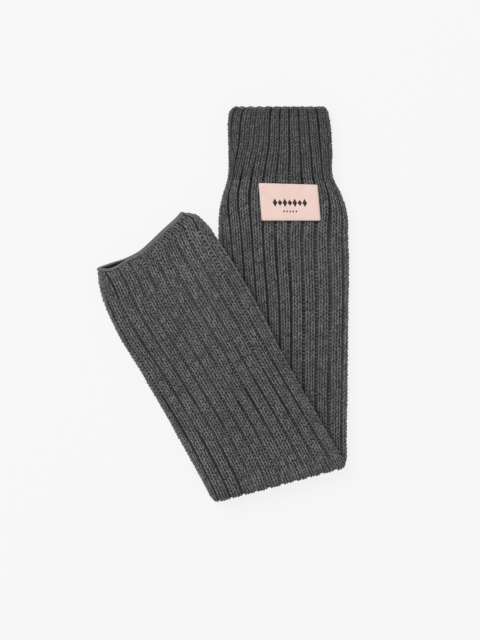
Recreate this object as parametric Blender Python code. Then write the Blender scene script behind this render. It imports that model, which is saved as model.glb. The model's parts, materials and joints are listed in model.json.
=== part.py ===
"""A fingerless knit sleeve, an arm or leg warmer in chunky rib, lying flat and folded once over itself.

The tube is drawn as it lies flat: its cast-on edge at +Y and its length running down -Y. Every point of
that flat tube is then bent over a slanted crease, so the far half comes back up over the near half, and
the far half settles to the ground where it hangs past the near half's side.
"""

import math

import bmesh
import bpy
from mathutils import Matrix, Vector

COLLECTION = "fingerless_sleeve"

# The flattened tube
TOP_Y = 0.1642            # the cast-on edge
AXIS_X = 0.0469           # the tube's own axis, where it crosses its rings
THICKNESS = 0.013         # one flattened layer, from rib crest to rib crest
WALL = 0.003              # the knit itself
RIB_COUNT = 23            # round the tube, one rib and one furrow each
RIB_DEPTH = 0.001         # of the furrow between two ribs
FIT_GAP = 0.0003          # between pieces that touch

# Flat outline: distance down from the cast-on edge, and how far the two edges lie from the axis
OUTLINE = (
    (0.000, 0.0392, 0.0386),
    (0.004, 0.0427, 0.0412),
    (0.010, 0.0438, 0.0424),
    (0.036, 0.0436, 0.0448),
    (0.061, 0.0446, 0.0464),
    (0.072, 0.0481, 0.0518),
    (0.084, 0.0508, 0.0560),
    (0.112, 0.0521, 0.0579),
    (0.182, 0.0531, 0.0577),
    (0.240, 0.0545, 0.0572),
    (0.300, 0.0559, 0.0564),
    (0.345, 0.0552, 0.0560),
    (0.406, 0.0543, 0.0566),
    (0.449, 0.0541, 0.0590),
    (0.483, 0.0547, 0.0594),
    (0.505, 0.0529, 0.0584),
    (0.521, 0.0494, 0.0563),
    (0.530, 0.0452, 0.0520),
    (0.536, 0.0418, 0.0430),
)

# The crease
CREASE_AT = 0.3015        # along the axis, down from the cast-on edge
CREASE_ANGLE = math.radians(15.1)
LAYER_GAP = 0.0003        # between the two layers
CREASE_HEIGHT = THICKNESS + LAYER_GAP / 2

# Rings turn from square across the cuff to parallel with the crease, and lie hollow at the open end
TURN_FROM = 0.110
MOUTH_SLOPE = -0.040
CUP_LENGTH = 0.045

# The line of the mouth: place across as a share of the half width, how far the tube reaches past HEM_END
MOUTH_LINE = (
    (-1.00, 0.0082),
    (-0.70, 0.0053),
    (-0.40, 0.0020),
    (-0.10, 0.0009),
    (0.15, 0.0025),
    (0.50, 0.0055),
    (0.86, 0.0082),
    (1.00, 0.0098),
)

# The near lip of the mouth lies back from the far lip, most of all at a slit on its left
LIP_SHIFT = 0.0014        # of the near lip over most of the mouth
LIP_RECESS = 0.0032       # more of it at the slit
LIP_LENGTH = 0.040
LIP_MIDDLE = -0.73
LIP_REACH = 0.40

# The upper half comes down to the ground over this width, beside the lower half
SETTLE_FROM_AXIS = 0.0514
SETTLE_WIDTH = 0.034
SETTLE_DROP = CREASE_HEIGHT * 2 - THICKNESS - FIT_GAP

# Where each piece starts and ends along the tube
CUFF_EDGE_END = 0.0035
CUFF_END = 0.061
HEM_START = 0.5334
HEM_END = 0.5366
RIB_FADE_FROM = 0.517     # the furrows run out into the hem

# How the ribs wander round the tube: distance down, then a shift, a cosine part, a sine part and a part that
# gathers them towards both side edges, in turns
RIB_PATHS = (
    (0.000, 0.014, 0.008, 0.003, 0.000),
    (0.030, 0.007, 0.002, 0.001, -0.004),
    (0.060, -0.002, -0.002, -0.002, -0.022),
    (0.100, 0.012, 0.002, -0.028, -0.006),
    (0.170, 0.023, 0.008, -0.024, 0.000),
    (0.300, 0.018, 0.006, -0.013, 0.000),
    (0.350, 0.016, 0.002, -0.002, 0.000),
    (0.480, 0.026, 0.006, -0.004, 0.000),
    (0.505, 0.026, 0.008, -0.004, 0.000),
    (0.521, 0.025, 0.014, -0.004, 0.000),
    (0.536, 0.024, 0.045, -0.003, 0.000),
)

# Elastic yarn laid round the inside of the cuff
ELASTIC_AT = (0.014, 0.030, 0.046)
ELASTIC_RADIUS = 0.0004

# Woven label
LABEL_FROM_AXIS = 0.0082
LABEL_DOWN = 0.0797
LABEL_SIZE = (0.0495, 0.0305, 0.0008)
LABEL_TURN = math.radians(1.2)
LABEL_CORNER = 0.0012
THREAD_RADIUS = 0.00022
THREAD_INSET = 0.0016
THREAD_PITCH = 0.0025
THREAD_WAVE = 0.0001

# Each rib has a furrow and two shoulders: share of the rib's pitch, share of the furrow's depth
RIB_PROFILE = ((0.0, 1.0), (0.24, 0.0), (0.76, 0.0))

DARK_HEATHER = (0.060, 0.060, 0.061, 1.0)
HEM_GREY = (0.085, 0.092, 0.088, 1.0)
LABEL_PINK = (0.88, 0.66, 0.61, 1.0)
THREAD_PINK = (0.90, 0.74, 0.70, 1.0)
ELASTIC_BLACK = (0.02, 0.02, 0.02, 1.0)


def smooth(value):
    """Eases from 0 to 1 as value goes from 0 to 1."""
    value = min(max(value, 0.0), 1.0)
    return value * value * (3.0 - 2.0 * value)


def slope_between(rows, index, column):
    """A table's slope at one of its rows, taken across the neighbours."""
    before = rows[max(index - 1, 0)]
    after = rows[min(index + 1, len(rows) - 1)]
    return (after[column] - before[column]) / (after[0] - before[0])


def curve_at(rows, along):
    """The values of a table at a distance down the tube, on a smooth curve through its rows."""
    index = min(max(sum(row[0] <= along for row in rows) - 1, 0), len(rows) - 2)
    first, second = rows[index], rows[index + 1]
    span = second[0] - first[0]
    share = min(max((along - first[0]) / span, 0.0), 1.0)
    ease = smooth(share)
    values = []
    for column in range(1, len(first)):
        start_slope = slope_between(rows, index, column) * span
        end_slope = slope_between(rows, index + 1, column) * span
        values.append(
            first[column] * (1 - ease) + second[column] * ease
            + start_slope * share * (1 - share) ** 2
            - end_slope * share ** 2 * (1 - share)
        )
    return values


def crease_frame():
    """The crease's middle and its directions in plan: along it, and outwards from the lower half."""
    middle = Vector((AXIS_X, TOP_Y - CREASE_AT))
    along = Vector((math.cos(CREASE_ANGLE), math.sin(CREASE_ANGLE)))
    outward = Vector((math.sin(CREASE_ANGLE), -math.cos(CREASE_ANGLE)))
    return middle, along, outward


FOLD_ARC = math.pi * (CREASE_HEIGHT - THICKNESS / 2)
FOLD_END = CREASE_AT + FOLD_ARC / math.cos(CREASE_ANGLE)
FIT_STEP = FIT_GAP / math.cos(CREASE_ANGLE)


def ring_slope(along):
    """How far a ring slants across the tube, as rise over run."""
    slant = math.tan(CREASE_ANGLE)
    if along <= CREASE_AT:
        return slant * smooth((along - TURN_FROM) / (CREASE_AT - TURN_FROM))
    share = smooth((along - FOLD_END) / (HEM_START - FOLD_END))
    return slant * (1 - share) + MOUTH_SLOPE * share


def oval_point(half_width, inset, turn):
    """A point of the flattened ring, inset from the rib crests; turn runs 0 to 1 from the left edge over
    the upper face."""
    radius = THICKNESS / 2
    straight = 2 * half_width - 2 * radius
    arc = math.pi * radius
    travel = (turn % 1.0) * 2 * (straight + arc)
    inner = radius - inset
    corners = ((arc / 2, "left"), (straight, "over"), (arc, "right"), (straight, "under"), (arc / 2, "left"))
    for index, (length, name) in enumerate(corners):
        if travel <= length or index == len(corners) - 1:
            break
        travel -= length
    if name == "over":
        return travel - straight / 2, inner
    if name == "under":
        return straight / 2 - travel, -inner
    if name == "right":
        angle = math.pi / 2 - travel / radius
        return straight / 2 + inner * math.cos(angle), inner * math.sin(angle)
    angle = math.pi - travel / radius if index == 0 else -math.pi / 2 - travel / radius
    return -straight / 2 + inner * math.cos(angle), inner * math.sin(angle)


def drifted(turn, along):
    """Where round the tube a rib of this turn lies at a distance down it."""
    shift, cosine, sine, gather = curve_at(RIB_PATHS, along)
    angle = 2 * math.pi * turn
    return turn + shift + cosine * math.cos(angle) + sine * math.sin(angle) + gather * math.sin(2 * angle)


def mouth_shift(along, share, height):
    """How far up the tube the hollow mouth, and the recess of its near lip, move a point."""
    cup = curve_at(MOUTH_LINE, share)[0] * smooth((along - HEM_END + CUP_LENGTH) / CUP_LENGTH)
    slit = smooth(1 - abs(share - LIP_MIDDLE) / LIP_REACH)
    lip = LIP_SHIFT * smooth(4 - 4 * abs(share)) + LIP_RECESS * slit
    lip *= smooth((along - HEM_END + LIP_LENGTH) / LIP_LENGTH) * smooth(0.5 - height / THICKNESS)
    return lip - cup


def flat_point(along, turn, inset):
    """A point of the flat tube, before it is folded."""
    left, right = curve_at(OUTLINE, along)
    half_width = (left + right) / 2
    across, height = oval_point(half_width, inset, drifted(turn, along))
    x = AXIS_X + (right - left) / 2 + across
    y = TOP_Y - along + ring_slope(along) * (x - AXIS_X) + mouth_shift(along, across / half_width, height)
    return Vector((x, y, THICKNESS / 2 + height))


def folded(point):
    """Bends a point of the flat tube over the crease, and lets the upper half settle."""
    middle, along, outward = crease_frame()
    offset = point.xy - middle
    beyond = offset.dot(outward)
    if beyond <= 0:
        return point
    radius = CREASE_HEIGHT - point.z
    angle = math.pi * min(beyond / FOLD_ARC, 1.0) - math.pi / 2
    reach = radius * math.cos(angle) - max(beyond - FOLD_ARC, 0.0)
    place = middle + along * offset.dot(along) + outward * reach
    raised = max(math.sin(angle), 0.0)
    drop = SETTLE_DROP * raised * smooth((AXIS_X - SETTLE_FROM_AXIS - place.x) / SETTLE_WIDTH)
    return Vector((place.x, place.y, CREASE_HEIGHT + radius * math.sin(angle) - drop))


def rib_depth(along):
    """The furrows' depth, which runs out towards the hem."""
    return RIB_DEPTH * (1 - smooth((along - RIB_FADE_FROM) / (HEM_START - RIB_FADE_FROM)))


def ring(along, inset, depth):
    """One closed ring of the tube, folded, as a list of points."""
    points = []
    for rib in range(RIB_COUNT):
        for share, furrow in RIB_PROFILE:
            turn = (rib + 0.5 + share) / RIB_COUNT
            points.append(folded(flat_point(along, turn, inset + depth * furrow)))
    return points


def material(name, colour, roughness):
    """A plain Principled material."""
    made = bpy.data.materials.new(name)
    made.use_nodes = True
    shader = made.node_tree.nodes["Principled BSDF"]
    shader.inputs["Base Color"].default_value = colour
    shader.inputs["Roughness"].default_value = roughness
    shader.inputs["Metallic"].default_value = 0.0
    made.diffuse_color = colour
    return made


def add_object(name, data, colour, roughness):
    """Links new data as an object of the part's collection, with its own material."""
    placed = bpy.data.objects.new(name, data)
    data.materials.append(material(name, colour, roughness))
    bpy.data.collections[COLLECTION].objects.link(placed)
    return placed


def bridge(mesh, first, second):
    """Quads between two rings of vertices with the same count."""
    count = len(first)
    for index in range(count):
        following = (index + 1) % count
        mesh.faces.new((first[index], first[following], second[following], second[index]))


def lofted_shell(name, outside, inside, colour, roughness=0.9):
    """A tube wall lofted through rings: up the outside, over the end rim, and back down the inside."""
    mesh = bmesh.new()
    loops = [[mesh.verts.new(point) for point in points] for points in outside + inside[::-1]]
    for index, loop in enumerate(loops):
        bridge(mesh, loop, loops[(index + 1) % len(loops)])
    bmesh.ops.recalc_face_normals(mesh, faces=mesh.faces)
    data = bpy.data.meshes.new(name)
    mesh.to_mesh(data)
    mesh.free()
    data.shade_smooth()
    data.set_sharp_from_angle(angle=math.radians(50))
    return add_object(name, data, colour, roughness)


def spread(start, end, steps):
    """Evenly spaced places from start to end, both included."""
    return [start + (end - start) * step / steps for step in range(steps + 1)]


def ribbed_wall(name, places):
    """A stretch of the ribbed tube through the given places along it."""
    outside = [ring(along, 0.0, rib_depth(along)) for along in places]
    inside = [ring(along, WALL, 0.0) for along in places]
    return lofted_shell(name, outside, inside, DARK_HEATHER)


def cuff_edge():
    """The cast-on edge: a rounded lip whose ribs give the cuff its scalloped end."""
    profile = ((0.0, 0.0008), (CUFF_EDGE_END / 3, 0.0001), (CUFF_EDGE_END, 0.0))
    outside = [ring(along, lip, RIB_DEPTH) for along, lip in profile]
    inside = [ring(along, WALL - lip, 0.0) for along, lip in profile]
    return lofted_shell("cuff_edge", outside, inside, DARK_HEATHER)


def rolled_hem():
    """The smooth rolled hem round the open end."""
    length = HEM_END - HEM_START
    outside = []
    inside = []
    for angle in spread(0.0, math.pi, 4):
        along = HEM_START + length * (1 - math.cos(angle)) / 2
        bulge = WALL * 0.4 * math.sin(angle)
        outside.append(ring(along, WALL * 0.3 - bulge * 0.75, 0.0))
        inside.append(ring(along, WALL * 0.7 + bulge * 0.75, 0.0))
    return lofted_shell("rolled_hem", outside, inside, HEM_GREY, 0.7)


def thread_loop(name, points, radius, colour):
    """A closed loop of yarn or thread through the given points."""
    curve = bpy.data.curves.new(name, "CURVE")
    curve.dimensions = "3D"
    curve.bevel_depth = radius
    curve.bevel_resolution = 1
    spline = curve.splines.new("POLY")
    spline.points.add(len(points) - 1)
    for control, point in zip(spline.points, points):
        control.co = (*point, 1.0)
    spline.use_cyclic_u = True
    return add_object(name, curve, colour, 0.6)


def cuff_elastic(number, along):
    """An elastic yarn laid round the inside of the cuff."""
    points = ring(along, WALL + FIT_GAP + ELASTIC_RADIUS, 0.0)
    return thread_loop(f"cuff_elastic_{number}", points, ELASTIC_RADIUS, ELASTIC_BLACK)


def label_matrix():
    """The label's place on the upper face of the lower half."""
    height = THICKNESS + FIT_GAP + LABEL_SIZE[2] / 2
    place = Matrix.Translation((AXIS_X + LABEL_FROM_AXIS, TOP_Y - LABEL_DOWN, height))
    return place @ Matrix.Rotation(LABEL_TURN, 4, "Z")


def woven_label():
    """The woven label: a thin plate with rounded corners."""
    mesh = bmesh.new()
    bmesh.ops.create_cube(mesh, size=1.0)
    bmesh.ops.scale(mesh, vec=LABEL_SIZE, verts=mesh.verts)
    upright = [edge for edge in mesh.edges if abs(edge.verts[0].co.z - edge.verts[1].co.z) > LABEL_SIZE[2] / 2]
    bmesh.ops.bevel(mesh, geom=upright, offset=LABEL_CORNER, segments=3, affect="EDGES", profile=0.5)
    data = bpy.data.meshes.new("woven_label")
    mesh.to_mesh(data)
    mesh.free()
    placed = add_object("woven_label", data, LABEL_PINK, 0.45)
    placed.matrix_world = label_matrix()
    return placed


def label_thread():
    """The stitching round the label's edge, one thread that dips at every stitch."""
    half_x = LABEL_SIZE[0] / 2 - THREAD_INSET
    half_y = LABEL_SIZE[1] / 2 - THREAD_INSET
    corners = [Vector(place) for place in ((-half_x, -half_y), (half_x, -half_y), (half_x, half_y), (-half_x, half_y))]
    height = LABEL_SIZE[2] / 2 + FIT_GAP + THREAD_RADIUS + THREAD_WAVE
    points = []
    for corner, following in zip(corners, corners[1:] + corners[:1]):
        steps = 2 * round((following - corner).length / THREAD_PITCH)
        for step in range(steps):
            place = corner.lerp(following, step / steps)
            points.append((*place, height + THREAD_WAVE * (-1) ** step))
    placed = thread_loop("label_thread", points, THREAD_RADIUS, THREAD_PINK)
    placed.matrix_world = label_matrix()
    return placed


def crease_empty():
    """The fold's axis: its X runs along the crease, and the upper half turns about it."""
    empty = bpy.data.objects.new("crease_axis", None)
    bpy.data.collections[COLLECTION].objects.link(empty)
    middle = crease_frame()[0]
    place = Matrix.Translation((*middle, CREASE_HEIGHT))
    empty.matrix_world = place @ Matrix.Rotation(CREASE_ANGLE, 4, "Z")
    return empty


def hang_on(empty, piece):
    """Parents a piece to the crease's axis without moving it."""
    piece.parent = empty
    piece.matrix_parent_inverse = empty.matrix_basis.inverted()


def main():
    for old in list(bpy.data.objects):
        bpy.data.objects.remove(old)
    collection = bpy.data.collections.new(COLLECTION)
    bpy.context.scene.collection.children.link(collection)

    cuff_edge()
    ribbed_wall("ribbed_cuff", [CUFF_EDGE_END + FIT_GAP] + spread(0.010, CUFF_END, 3))
    lower_places = [CUFF_END + FIT_GAP, 0.072, 0.084, 0.112]
    ribbed_wall("leg_lower", lower_places + spread(0.150, CREASE_AT - FIT_STEP, 4))
    ribbed_wall("fold_band", spread(CREASE_AT, FOLD_END, 8))
    upper_places = spread(FOLD_END + FIT_STEP, 0.500, 10) + spread(0.510, HEM_START - FIT_GAP, 3)
    upper = ribbed_wall("leg_upper", upper_places)
    hem = rolled_hem()
    for number, along in enumerate(ELASTIC_AT, start=1):
        cuff_elastic(number, along)
    woven_label()
    label_thread()

    empty = crease_empty()
    hang_on(empty, upper)
    hang_on(empty, hem)


main()
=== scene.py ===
"""Looks of the fingerless knit sleeve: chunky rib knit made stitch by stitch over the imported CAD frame.

The sleeve is described as a flat tube, as the CAD part is, and every stitch is bent over the crease and
settled to the ground with it. Places on the tube are given as "down", the distance straight down from the
cast-on edge, "along", the distance of the CAD ring that passes there, and "turn", which runs 0 to 1 round
the tube from its left edge over its upper face.
"""

import json
import math

import bmesh
import bpy
import numpy as np
from mathutils import Matrix, Vector


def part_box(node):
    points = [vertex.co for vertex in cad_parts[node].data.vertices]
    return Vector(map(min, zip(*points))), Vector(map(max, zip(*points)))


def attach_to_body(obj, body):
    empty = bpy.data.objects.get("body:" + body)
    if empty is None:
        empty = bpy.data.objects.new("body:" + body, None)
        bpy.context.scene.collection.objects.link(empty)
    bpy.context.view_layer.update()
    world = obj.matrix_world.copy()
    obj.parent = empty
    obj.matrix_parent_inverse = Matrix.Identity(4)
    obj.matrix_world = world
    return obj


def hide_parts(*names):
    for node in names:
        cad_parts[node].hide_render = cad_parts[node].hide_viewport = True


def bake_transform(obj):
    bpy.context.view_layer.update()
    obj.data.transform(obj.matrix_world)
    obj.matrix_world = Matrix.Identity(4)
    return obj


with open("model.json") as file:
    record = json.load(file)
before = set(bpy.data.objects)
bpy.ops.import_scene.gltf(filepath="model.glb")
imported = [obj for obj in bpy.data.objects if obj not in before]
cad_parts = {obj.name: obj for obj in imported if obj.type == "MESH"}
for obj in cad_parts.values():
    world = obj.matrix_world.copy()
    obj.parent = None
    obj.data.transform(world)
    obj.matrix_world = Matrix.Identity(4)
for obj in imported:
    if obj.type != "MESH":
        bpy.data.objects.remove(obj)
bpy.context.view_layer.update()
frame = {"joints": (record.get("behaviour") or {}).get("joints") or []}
CREASE = frame["joints"][0]

RANDOM = np.random.default_rng(29)

# The flat tube, in metres, as part.py has it: (distance down, left edge from the axis, right edge from it)
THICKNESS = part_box("leg_lower")[1].z
TOP_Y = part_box("cuff_edge")[1].y
AXIS_X = CREASE["pos_m"][0]
OUTLINE = np.array((
    (0.000, 0.0392, 0.0386),
    (0.004, 0.0427, 0.0412),
    (0.010, 0.0438, 0.0424),
    (0.036, 0.0436, 0.0448),
    (0.061, 0.0446, 0.0464),
    (0.072, 0.0481, 0.0518),
    (0.084, 0.0508, 0.0560),
    (0.112, 0.0521, 0.0579),
    (0.182, 0.0531, 0.0577),
    (0.240, 0.0545, 0.0572),
    (0.300, 0.0559, 0.0564),
    (0.345, 0.0552, 0.0560),
    (0.406, 0.0543, 0.0566),
    (0.449, 0.0541, 0.0590),
    (0.483, 0.0547, 0.0594),
    (0.505, 0.0529, 0.0584),
    (0.521, 0.0494, 0.0563),
    (0.530, 0.0452, 0.0520),
    (0.536, 0.0418, 0.0430),
))
CUFF_START = 0.0001
CUFF_END = 0.061
HEM_START = 0.5334
HEM_END = 0.5366

# Ribs, and how they wander: distance down, then a shift, a cosine part, a sine part and a part that gathers
# them towards both side edges, in turns round the tube
RIB_COUNT = 23
RIB_PATHS = np.array((
    (0.000, 0.014, 0.008, 0.003, 0.000),
    (0.030, 0.007, 0.002, 0.001, -0.004),
    (0.060, -0.002, -0.002, -0.002, -0.022),
    (0.100, 0.012, 0.002, -0.028, -0.006),
    (0.170, 0.023, 0.008, -0.024, 0.000),
    (0.300, 0.018, 0.006, -0.013, 0.000),
    (0.350, 0.016, 0.002, -0.002, 0.000),
    (0.480, 0.026, 0.006, -0.004, 0.000),
    (0.505, 0.026, 0.008, -0.004, 0.000),
    (0.521, 0.025, 0.014, -0.004, 0.000),
    (0.536, 0.024, 0.045, -0.003, 0.000),
))
WANDER = 0.0018  # of small random bends, in turns

# The crease, from the CAD joint
CREASE_MIDDLE = np.array(CREASE["pos_m"][:2])
CREASE_HEIGHT = CREASE["pos_m"][2]
CREASE_ALONG = np.array(CREASE["axis"][:2])
CREASE_OUT = np.array((CREASE_ALONG[1], -CREASE_ALONG[0]))
CREASE_SLANT = CREASE_ALONG[1] / CREASE_ALONG[0]
CREASE_AT = TOP_Y - CREASE_MIDDLE[1]
FOLD_RADIUS = CREASE_HEIGHT - THICKNESS / 2
FOLD_ARC = math.pi * FOLD_RADIUS
FOLD_END = CREASE_AT + FOLD_ARC / CREASE_ALONG[0]

# Rings turn from square at the cuff to parallel with the crease, and are nearly square again at the open end
TURN_FROM = 0.110
RING_ROUNDS = 6  # of the search for the ring that passes through a point
MOUTH_SLOPE = -0.040

# The upper half settles to the ground on the left of the lower half
SETTLE_FROM_AXIS = 0.0514
SETTLE_WIDTH = 0.034
SETTLE_DROP = 2 * CREASE_HEIGHT - THICKNESS - 0.0003

# The line of the mouth: place across as a share of the half width, how far the tube reaches past HEM_END
CUP_LENGTH = 0.045  # the rings take on this line over this length
MOUTH_LINE = np.array((
    (-1.00, 0.0082),
    (-0.70, 0.0053),
    (-0.40, 0.0020),
    (-0.10, 0.0009),
    (0.15, 0.0025),
    (0.50, 0.0055),
    (0.86, 0.0082),
    (1.00, 0.0098),
))

# The near lip of the mouth lies back from the far lip, most of all at a slit on its left
LIP_SHIFT = 0.0014  # of the near lip over most of the mouth
LIP_RECESS = 0.0032  # more of it at the slit
LIP_LENGTH = 0.040
LIP_MIDDLE = -0.73
LIP_REACH = 0.40
LIP_EASE = 4  # the larger, the nearer to the side edges the shift starts to fade
MOUTH_PRESS = 0.50  # share of the tube's thickness lost at the mouth, at most
PRESS_LENGTH = 0.060
PRESS_SWING = 0.25  # how unevenly it is pressed across the mouth
PRESS_WAVE = 5
PRESS_PHASE = 1

# Rib relief: furrows are deep where the ribs close up, and shallow where they are drawn apart
FURROW_DEPTH = 0.0025
FURROW_UPPER_SHARE = 0.62  # of that depth in the upper half, which lies drawn flatter
FURROW_OPEN_DEPTH = 0.0023
FURROW_OPEN_GAP = 0.34  # of the rib's pitch
FURROW_SHOULDER = 0.20  # a furrow's side, as a share of half the rib's pitch
FURROW_SHOULDER_GAP = 0.6  # and more of it where the furrow is open, as a share of its gap
FURROW_SWING = 0.50  # how much of its depth a furrow gains and loses along its way
FAINT_FURROWS = (2, 3, 10)  # in the cuff, counted from the left edge
FAINT_SHARE = 0.65  # of their depth lost
FAINT_FADE = 0.02  # they deepen over this length above the cuff's end
FURROW_LEAN = 0.0005  # how far the ribs lean together over a faint furrow
GATHER_REACH = 0.035  # the furrows stay deep this far above and below the cuff's end
RIB_CROWN = 0.0004
FOLD_FLATTEN = 0.75  # share of the relief lost round the fold
FOLD_REACH = 0.024
FOLD_OUTSIDE_FROM = 0.44  # the turns between which the fold shows from outside
FOLD_OUTSIDE_TO = 1.06
EDGE_SCALLOP = 0.0008  # how far the ribs stand out past the furrows along the cast-on edge
EDGE_SCALLOP_LENGTH = 0.012
EDGE_ROLL = 0.0018  # radius of the cast-on edge
RIB_FADE_FROM = 0.5200
SWELL = 0.0003  # soft lumps of the whole fabric
SWELL_BANDS = 8
SWELL_GAIN = 3

# The backing, under the stitches' crests
BACKING_DEPTH = 0.0013
WALL = 0.0034  # at least
GROUND_THICKNESS = 0.0008  # at the bottom of the furrows, at least
BACKING_STEPS = 8  # points round the tube for each rib
BACKING_RINGS = {"cuff": 24, "lower": 60, "fold": 28, "upper": 60}
OPEN_EASE = 0.2  # how gradually the painted shade on the backing lightens at the sides of an open furrow

# Stitches: course pitch in the cuff and in the leg, the width of a wale, and a leg's shape as shares of both
CUFF_COURSE = 0.00252
LEG_COURSE = 0.00304
COURSE_LEAD = 0.01  # the courses start to grow this far above the cuff's end
COURSE_CHANGE = 0.03  # and grow over this length
FIRST_COURSE = (0.62, 0.78)  # where the first course of a column may lie, in courses
WALE = 0.0045
WALE_OF_RIB = 0.455  # at most, where ribs are squeezed
LEG_INNER = 0.100
LEG_OUTER = 0.395
LEG_REACH = 0.67
LEG_RADIUS = 0.165
LEG_LIFT = 0.0004
LEG_TUCK = 0.0006  # how far a leg's upper end dives under the next stitch
SIDES = 6  # of a run of yarn
TIP_SHAPE = 0.46  # of a run of yarn: the smaller, the blunter
RUN_HEIGHT = 0.92  # of its width
LEG_RINGS = (0.14, 0.40, 0.68, 0.90)

# How uneven the stitches are: shares of their own measures, apart from LEG_SHIFT_SPREAD in metres
TENSION_SWING = 0.16
LEG_SPREAD = 0.07
LEG_SHIFT_SPREAD = 0.00012
LEG_LIFT_SPREAD = 0.3
PURL_RADIUS_SPREAD = 0.08
PURL_PLACE_SPREAD = 0.05

# Purl stitches, which only show in open furrows: two arcs each, given by place in the course and depth
PURL_ARCS = ((0.0, 0.0004), (0.5, 0.0010))
PURL_RINGS = (0.20, 0.50, 0.80)
PURL_RADIUS = 0.00074
PURL_LIFT = 0.0003
PURL_BOW = 0.18  # of a course
PURL_SHOWS = 0.13  # gap between two ribs, as a share of their pitch, that shows the purl stitches
PURL_COVER = 0.84  # share of the wales beside it that a purl stitch doesn't reach under

# The chain along the cast-on edge: two rows of loops, with their distance down and the way they slant
CHAIN_ROWS = ((0.0004, 1.0), (0.0015, -1.0))
CHAIN_LOOPS = 3  # for each rib
CHAIN_LENGTH = 0.72  # of their pitch, from the middle of a loop to its tip
CHAIN_SLANT = 0.0004
CHAIN_SPREAD = 0.00008
CHAIN_LIFT = 0.0004
CHAIN_RADIUS = 0.00075

HEM_RADIUS = 0.00112
HEM_SIDES = 14
HEM_RIDGES = 94
HEM_RIDGE_STEPS = 8
HEM_RIDGE_DEPTH = 0.10  # of its radius
HEM_RIDGE_SHAPE = 0.7  # 1 is a sine, and less is rounder
HEM_SLANT = 1.5  # of its stitches
HEM_DEPTH = 1.2  # of its middle under the crests, in radii

# The label: its size as shares of the CAD label's, its unevenness and its heights over the CAD label's
# underside in metres, and its corners and edges as shares of half its size
LABEL_WIDTH = 0.975
LABEL_HEIGHT = 0.965
LABEL_ASPECT = 1.6  # of its width to its height
LABEL_LEAN = 0.0013  # how far the label's upper edge lies to the left, and its lower edge to the right
LABEL_DIP = 0.0007  # how far its upper right corner is drawn down
LABEL_WAVE = 0.00012  # of the ribs under it
LABEL_WAVE_RATE = 11.0
LABEL_DROOP = 0.0003  # at its two ends
LABEL_GRID = (60, 36)
LABEL_TOP = 0.00075
LABEL_BOTTOM = 0.0001
LABEL_CORNER = 0.025
LABEL_CORNER_PULL = 2.6  # the larger, the less its corners are drawn in
LABEL_EDGE = 0.035  # rounded this far in from its border
LABEL_ROUNDING = 0.00022
LABEL_TURNING = 0.00010  # how much fuller it is where its two ends are turned in
LABEL_TURNING_AT = 0.93
LABEL_TURNING_WIDTH = 0.03

# What is on the label: diamonds over dots, and stitches along its border
PATCH_BASE = 0.00068
PATCH_RIM = 0.00070
PATCH_RISE = 0.00006
PATCH_CROWN = 0.000854
DIAMOND_COUNT = 7
DIAMOND_PITCH = 0.168
DIAMOND_FIRST = -0.50
DIAMOND_ROW = -0.03
DIAMOND_HALF = 0.078
DIAMOND_TALL = (0.23, 0.17)  # by turns
DOT_COUNT = 5
DOT_PITCH = 0.105
DOT_FIRST = -0.22
DOT_ROW = -0.50
DOT_HALF = (0.026, 0.060)
DOT_SIDES = 8
SEAM_CORNER = (0.955, 0.925)
SEAM_COUNTS = (17, 11)  # stitches along a long side and along an end
SEAM_GAP = 0.14  # between stitches, at each end of one, as a share of their pitch
SEAM_LIFT = 0.00068
SEAM_RISE = 0.00004
SEAM_HALF_WIDTH = 0.00022
SEAM_HALF_HEIGHT = 0.00020

YARN_DARK = (0.064, 0.064, 0.065)
YARN_MIDDLE = (0.138, 0.138, 0.139)
YARN_LIGHT = (0.250, 0.250, 0.249)
YARN_STOPS = (0.32, 0.49, 0.68)
TONE_WEIGHT = 0.16  # of the difference between stitches in the mix
FIBRE_WEIGHT = 0.60  # and of the fibres
CUFF_PAINTED_SHADE = 0.80  # of the leg's brightness: painted shade, the same yarn darkened where the knit is drawn tighter and denser
FURROW_PAINTED_SHADE = 0.82  # of the purl stitches' brightness: painted shade, the same yarn darkened for the shade at the bottom of the furrows
BACKING_SHADE_STOPS = ((0.05, 0.10), (0.12, 0.30), (0.30, 0.65), (0.85, 1.0))  # with shares of the dark yarn: painted shade between the stitches, darkest inside the tube
PLIES = 3.0
PLY_TWIST = 2600.0  # radians for each metre of yarn
HEM_COLOUR = (0.150, 0.166, 0.160)
LABEL_COLOUR = (0.825, 0.610, 0.548)
MOTIF_COLOUR = (0.030, 0.018, 0.016)
WEAVE_SCALES = (("Y", 900.0), ("X", 420.0))

FLOOR_SIZE = 8.0
FLOOR_DROP = 0.0005
FLOOR_COLOUR = 0.08
FLOOR_GLOW = 0.84  # keeps the floor pale and its shadows faint
WORLD_LIGHT = 0.60
LAMP_PLACE = (-0.9, 0.9, 1.9)
LAMP_SIZE = 1.6
LAMP_POWER = 34.0

# The camera looks straight down through a long lens, with the sleeve a little left of and above the middle
VIEW_HEIGHT = 4.0
VIEW_LENGTH = 0.5312  # of floor in the picture's height
VIEW_MIDDLE = (0.0140, -0.0129)
VIEW_END = 20.0


def smooth(value):
    """Eases from 0 to 1 as value goes from 0 to 1."""
    value = np.clip(value, 0.0, 1.0)
    return value * value * (3.0 - 2.0 * value)


def waves(count, lengths):
    """A fixed set of random sine waves: wave numbers and phases, three for each of count lines."""
    numbers = 2 * np.pi / RANDOM.uniform(*lengths, (count, 3))
    phases = RANDOM.uniform(0, 2 * np.pi, (count, 3))
    return numbers, phases


def wave_sum(table, line, place):
    """A smooth random value from -1 to 1 that depends on the line and on the place along it."""
    numbers, phases = table
    return np.sin(numbers[line] * place[..., None] + phases[line]).mean(-1)


FURROW_WAVES = waves(RIB_COUNT, (0.05, 0.16))
WANDER_WAVES = waves(RIB_COUNT, (0.10, 0.30))
TENSION_WAVES = waves(2 * RIB_COUNT, (0.012, 0.05))
SWELL_WAVES = waves(SWELL_BANDS, (0.025, 0.07))


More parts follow.
